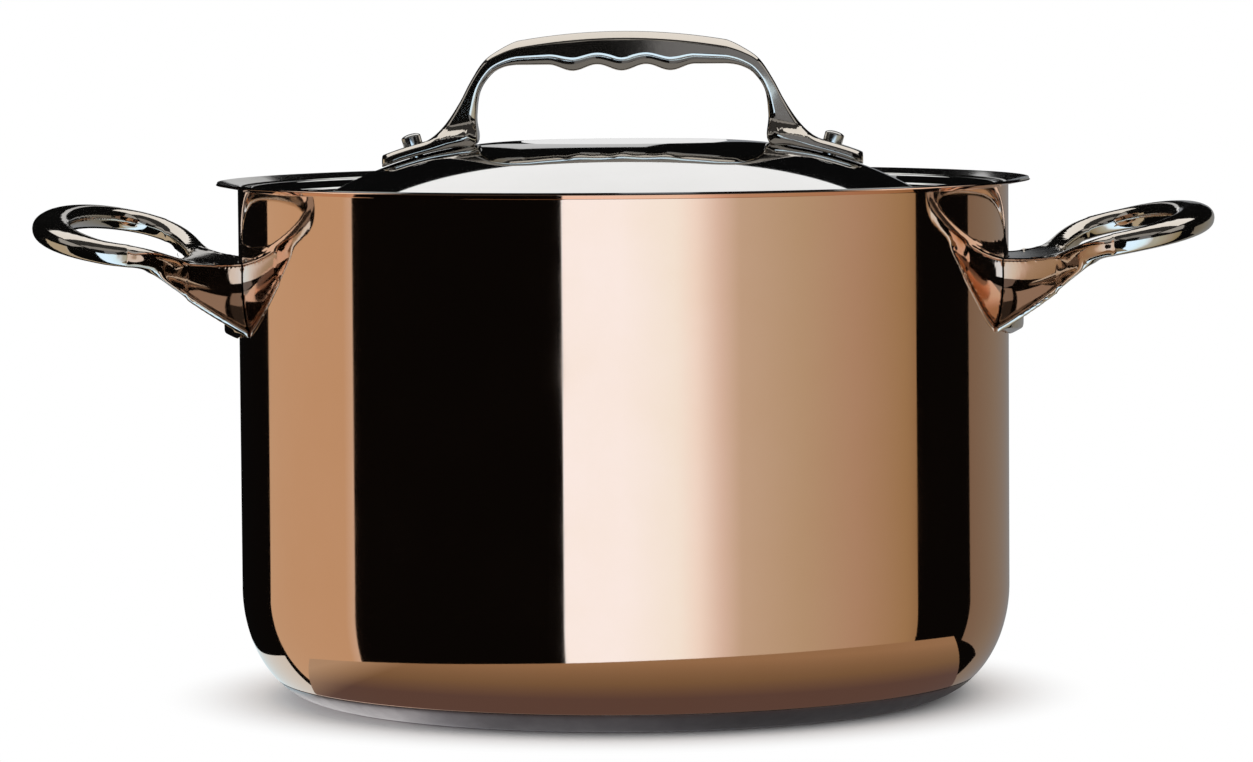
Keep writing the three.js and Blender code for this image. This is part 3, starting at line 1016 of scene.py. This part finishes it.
handle_rivet_height = 125.7
handle_rivet_side = 15
handle_rivet_turn = math.asin(handle_rivet_side / wall_radius)
for side, angle in (("right", 0), ("left", math.pi)):
    for tilt in (-handle_rivet_turn, handle_rivet_turn):
        end = "front" if math.sin(angle + tilt) < 0 else "rear"
        bm = rivet(shank=3, head=5.5, head_height=2.2, start=119.5, end=126.2)
        up = Matrix.Translation((0, 0, handle_rivet_height))
        stand_on(bm, Matrix.Rotation(angle + tilt, 4, "Z") @ up, math.pi / 2)
        name = f"{side}_rivet_{end}"
        finish_piece(bm, name, rivet_steel, "pot", f"{side}_handle_rivet_{end}")

lid_rivet_reach = 65.5
lid_rivet_tilt = math.asin((lid_rivet_reach - crown_radius) / shoulder_radius)
for side, sign in (("left", -1), ("right", 1)):
    bm = rivet(shank=2.2, head=3.1, head_height=3.6, start=-1.3, end=3.85)
    foot = Matrix.Translation((sign * lid_rivet_reach, 0, lid_height(lid_rivet_reach)))
    stand_on(bm, foot, sign * lid_rivet_tilt)
    finish_piece(bm, f"{side}_lid_stud", rivet_steel, "lid", f"lid_rivet_{side}")

# %% [markdown]
# ## The floor
#
# The floor is a pale matt disc. It catches the soft shadow under the pot. Far from the pot it fades
# into the same white as the backdrop, so no edge shows. A wholly white floor would wash out the
# pot's lower corner, so reflections look past it to what lies on the table and to the studio.

# %% Floor
studio_floor = 1600
fade_start = 105
fade_end = 150
disc_segments = 96

pale = bpy.data.materials.new("pale_studio_floor")
pale.use_nodes = True
tree = pale.node_tree
tree.nodes.remove(tree.nodes["Principled BSDF"])
matt = add_node(tree, "ShaderNodeBsdfDiffuse", {"Color": linear("FDFDFD")})
white = add_node(tree, "ShaderNodeEmission", {"Color": linear("FFFFFF"), "Strength": 1})
far = add_node(
    tree,
    "ShaderNodeVectorMath",
    {0: add_node(tree, "ShaderNodeTexCoord").outputs["Object"]},
    operation="LENGTH",
)
fade = add_node(
    tree,
    "ShaderNodeMapRange",
    {"Value": far.outputs["Value"], "From Min": fade_start * mm, "From Max": fade_end * mm},
    interpolation_type="SMOOTHSTEP",
)
blend = add_node(
    tree,
    "ShaderNodeMixShader",
    {0: fade.outputs["Result"], 1: matt.outputs["BSDF"], 2: white.outputs["Emission"]},
)
tree.links.new(blend.outputs["Shader"], tree.nodes["Material Output"].inputs["Surface"])

bm = bmesh.new()
bmesh.ops.create_circle(bm, cap_ends=True, segments=disc_segments, radius=studio_floor)
floor = to_object(bm, "floor", pale)
floor.visible_glossy = False
print("floor radius in millimetres:", studio_floor)

# %% [markdown]
# ## What lies on the table
#
# In the picture the pot's lower corner mirrors what it stands on: a brown round board hardly wider
# than the pot, cut straight behind, and the edge of a white sheet at its left. Close to the foot all
# is in shade. These three are flat shapes that glow with the light they would send back. Only
# reflections may see them, so they are hidden from the camera and cast no shadow on the pale floor.


# %% Glowing surfaces
def glow(name, hex_code):
    """A material that only sends out light, and its emission node for a colour that changes."""
    made = bpy.data.materials.new(name)
    made.use_nodes = True
    tree = made.node_tree
    tree.nodes.remove(tree.nodes["Principled BSDF"])
    light = add_node(tree, "ShaderNodeEmission", {"Color": linear(hex_code), "Strength": 1})
    tree.links.new(light.outputs["Emission"], tree.nodes["Material Output"].inputs["Surface"])
    return made, light


def colours_along(tree, value, stops, unit=mm):
    """A colour that follows a value through stops, each a number of units and a hex colour."""
    low, high = stops[0][0], stops[-1][0]
    share = add_node(
        tree, "ShaderNodeMapRange", {"Value": value, "From Min": low * unit, "From Max": high * unit}
    )
    ramp = add_node(tree, "ShaderNodeValToRGB", {"Fac": share.outputs["Result"]})
    elements = ramp.color_ramp.elements
    for spot, hex_code in stops[1:-1]:
        elements.new((spot - low) / (high - low)).color = linear(hex_code)
    elements[0].color = linear(stops[0][1])
    elements[-1].color = linear(stops[-1][1])
    return ramp.outputs["Color"]


def lay_out(bm, name, surface):
    """A flat thing on the table that only reflections see."""
    laid = to_object(bm, name, surface)
    laid.visible_camera = False
    laid.visible_diffuse = False
    laid.visible_shadow = False
    print(name, "laid out")


def trim(bm, point, away):
    """Cuts off what lies beyond a line through a point. The second pair points to the lost side."""
    bmesh.ops.bisect_plane(
        bm,
        geom=bm.verts[:] + bm.edges[:] + bm.faces[:],
        plane_co=(*point, 0),
        plane_no=(*away, 0),
        clear_outer=True,
    )


# %% Board
board_radius = 151.5
board_middle = (14, -6)
board_back = -39.2
back_slope = 0.0775
thin = 0.1

board, light = glow("brown_board", "9C8C73")
tree = board.node_tree
place = add_node(tree, "ShaderNodeTexCoord").outputs["Object"]
far = add_node(tree, "ShaderNodeVectorMath", {0: place}, operation="LENGTH").outputs["Value"]
# Painted shade: the board's glow darkens towards the pot, as if the pot shaded it.
brown = colours_along(tree, far, [(120, "605554"), (131, "7E715B"), (154, "9C8C73")])
side = add_node(tree, "ShaderNodeSeparateXYZ", {0: place}).outputs["X"]
# Painted light: the glow turns paler at the board's left, towards the white sheet.
lit = add_node(
    tree, "ShaderNodeMapRange", {"Value": side, "From Min": -95 * mm, "From Max": -120 * mm}
)
board_glow_with_painted_light = add_node(
    tree, "ShaderNodeMix", {0: lit.outputs["Result"], 6: brown, 7: linear("B5AD9B")}, data_type="RGBA"
)
tree.links.new(board_glow_with_painted_light.outputs[2], light.inputs["Color"])

bm = bmesh.new()
bmesh.ops.create_circle(bm, cap_ends=True, segments=disc_segments, radius=board_radius)
bmesh.ops.translate(bm, vec=(*board_middle, thin), verts=bm.verts[:])
trim(bm, (0, board_back), (-back_slope, 1))
lay_out(bm, "board", board)

# %% Sheet
sheet_half = (26.5, 95)
sheet_middle = (-111.5, 35)

paper, light = glow("white_paper", "D6EBF3")
bm = bmesh.new()
bmesh.ops.create_grid(bm, x_segments=1, y_segments=1, size=1)
bmesh.ops.scale(bm, vec=(*sheet_half, 1), verts=bm.verts[:])
bmesh.ops.translate(bm, vec=(*sheet_middle, thin), verts=bm.verts[:])
trim(bm, (-136, -22), (-30, -35))
trim(bm, (-127, -49), (back_slope, -1))
lay_out(bm, "sheet", paper)

# %% Shade at the foot
shade_radius = 110.2

dusk, light = glow("shade_at_the_foot", "7A7A7C")
tree = dusk.node_tree
place = add_node(tree, "ShaderNodeTexCoord").outputs["Object"]
side = add_node(tree, "ShaderNodeSeparateXYZ", {0: place}).outputs["X"]
# Millimetres from the middle, negative to the left, and the grey there: painted shade under the pot,
# turning to painted light at the left, where the white sheet lies.
painted_shade_and_light = [
    (-100, "FFFFFF"),
    (-71, "F8F8F8"),
    (-55, "B1B1B4"),
    (-39, "868688"),
    (0, "7A7A7C"),
    (18, "666668"),
    (36, "585859"),
    (100, "555556"),
]
tree.links.new(colours_along(tree, side, painted_shade_and_light), light.inputs["Color"])
bm = bmesh.new()
bmesh.ops.create_circle(bm, cap_ends=True, segments=disc_segments, radius=shade_radius)
bmesh.ops.translate(bm, vec=(0, 0, 2 * thin), verts=bm.verts[:])
lay_out(bm, "shade", dusk)

# %% [markdown]
# ## The studio
#
# The world plays the studio. The camera sees plain white. Matt surfaces get plain white light.
# Polished metal sees cards in a circle round the pot, told apart by their bearing from the front:
# a bright cool softbox ahead, warm grey cards to both sides, and black flags between them. The flags
# make the dark stripes that tell the eye that this is a mirror. A colour ramp gives the cards their
# soft changes.
#
# A bearing is worked out from a ray's parts. Cards in front count as near, which keeps their stripes
# straight down to the pot's lower corner. Behind the pot they count as far away.

# %% Cards round the pot
studio_strength = 2

world = bpy.data.worlds.new("studio")
bpy.context.scene.world = world
world.use_nodes = True
tree = world.node_tree
output = tree.nodes["World Output"]
tree.nodes.remove(tree.nodes["Background"])
ray = add_node(tree, "ShaderNodeTexCoord").outputs["Generated"]
x_part, y_part, z_part = add_node(tree, "ShaderNodeSeparateXYZ", {0: ray}).outputs
squared = add_node(tree, "ShaderNodeMath", {0: z_part, 1: z_part}, operation="MULTIPLY")
flat_part = add_node(
    tree, "ShaderNodeMath", {0: 1, 1: squared.outputs["Value"]}, operation="SUBTRACT"
)
far = add_node(tree, "ShaderNodeMath", {0: flat_part.outputs["Value"]}, operation="SQRT")
behind = add_node(tree, "ShaderNodeMapRange", {"Value": y_part, "From Min": 0.3, "From Max": 0.9})
reach = add_node(
    tree, "ShaderNodeMix", {0: behind.outputs["Result"], 2: 1, 3: far.outputs["Value"]}
)
from_back = add_node(tree, "ShaderNodeMath", {0: reach.outputs[0], 1: y_part}, operation="SUBTRACT")
half_turn = add_node(
    tree, "ShaderNodeMath", {0: x_part, 1: from_back.outputs["Value"]}, operation="ARCTAN2"
)
bearing = add_node(
    tree,
    "ShaderNodeMath",
    {0: half_turn.outputs["Value"], 1: 2 * math.degrees(1)},
    operation="MULTIPLY",
).outputs["Value"]

# Bearing in degrees, negative to the left, and the card's colour there.
cards = [
    (-180, "938774"),
    (-90, "938774"),
    (-60, "C4E1FC"),
    (0, "C4E1FC"),
    (16, "BFDAEC"),
    (22, "BBCCDA"),
    (29, "A7ACB1"),
    (35, "959791"),
    (54, "8B8A7D"),
    (72, "857D71"),
    (92, "786E57"),
    (99, "6A5F4A"),
    (126, "5D574E"),
    (145, "625F57"),
    (180, "616366"),
]
seen_by_metal = colours_along(tree, bearing, cards, unit=1)
print("cards round the pot:", len(cards))

# %% [markdown]
# ## Flags and panels
#
# What has sharp edges is laid over the cards, one layer at a time. A layer covers the rays that
# pass all its tests, and a test is a value that has to lie between two limits. The panels overhead
# lie flat, so their limits are where a ray meets a level one metre up. The pale one behind the middle
# makes the bright lens in the lid. The others are darker, and give the lid and the handles something
# to show from other sides.

# %% Flags and panels
rise = add_node(tree, "ShaderNodeMath", {0: z_part, 1: 0.001}, operation="MAXIMUM").outputs["Value"]
panel_x = add_node(tree, "ShaderNodeMath", {0: x_part, 1: rise}, operation="DIVIDE").outputs["Value"]
panel_y = add_node(tree, "ShaderNodeMath", {0: y_part, 1: rise}, operation="DIVIDE").outputs["Value"]

black = "050505"
sky = (z_part, 0.06, 1)
middle = (panel_x, -0.94, 0.94)
beside = (panel_y, -1.2, 0.6)
layers = [
    # Flags: behind on the left, in front on the left, on the right, low down on the right.
    (black, [(bearing, -181, -131)]),
    (black, [(bearing, -86, -17)]),
    (black, [(bearing, 96.8, 125)]),
    (black, [(bearing, 96.5, 148), (z_part, -1, -0.33)]),
    # The dark room above the cards, with one grey card in front and two small ones behind.
    (black, [sky]),
    ("5C5E62", [(x_part, 0, 0.4), (y_part, -1, -0.85), (z_part, 0.06, 0.5)]),
    ("ABABAB", [(x_part, -0.036, 0.002), (y_part, 0.97, 1), (z_part, 0.004, 0.075)]),
    ("8E8E8E", [(x_part, -0.06, -0.008), (y_part, 0.9, 1), (z_part, 0.075, 0.24)]),
    # Panels overhead: left, right, straight above, behind, in front.
    ("808080", [(panel_x, -3.5, -1.15), beside, sky]),
    ("808080", [(panel_x, 1.15, 3.5), beside, sky]),
    ("262626", [middle, (panel_y, -0.6, 0.35), sky]),
    ("C4C4C4", [middle, (panel_y, 0.35, 1.62), sky]),
    ("6E6E6E", [middle, (panel_y, -1.7, -0.6), sky]),
]
for hex_code, tests in layers:
    mask = 1
    for value, low, high in tests:
        inside = add_node(
            tree,
            "ShaderNodeMath",
            {0: value, 1: (low + high) / 2, 2: (high - low) / 2},
            operation="COMPARE",
        )
        both = add_node(
            tree, "ShaderNodeMath", {0: inside.outputs["Value"], 1: mask}, operation="MULTIPLY"
        )
        mask = both.outputs["Value"]
    covered = add_node(
        tree, "ShaderNodeMix", {0: mask, 6: seen_by_metal, 7: linear(hex_code)}, data_type="RGBA"
    )
    seen_by_metal = covered.outputs[2]
print("layers over the cards:", len(layers))

# %% What each ray sees
rays = add_node(tree, "ShaderNodeLightPath")
studio = add_node(
    tree, "ShaderNodeBackground", {"Color": seen_by_metal, "Strength": studio_strength}
)
plain = add_node(tree, "ShaderNodeBackground", {"Color": linear("FFFFFF"), "Strength": 1})
seen = add_node(
    tree,
    "ShaderNodeMixShader",
    {
        0: rays.outputs["Is Glossy Ray"],
        1: plain.outputs["Background"],
        2: studio.outputs["Background"],
    },
)
tree.links.new(seen.outputs["Shader"], output.inputs["Surface"])
print("world:", world.name)
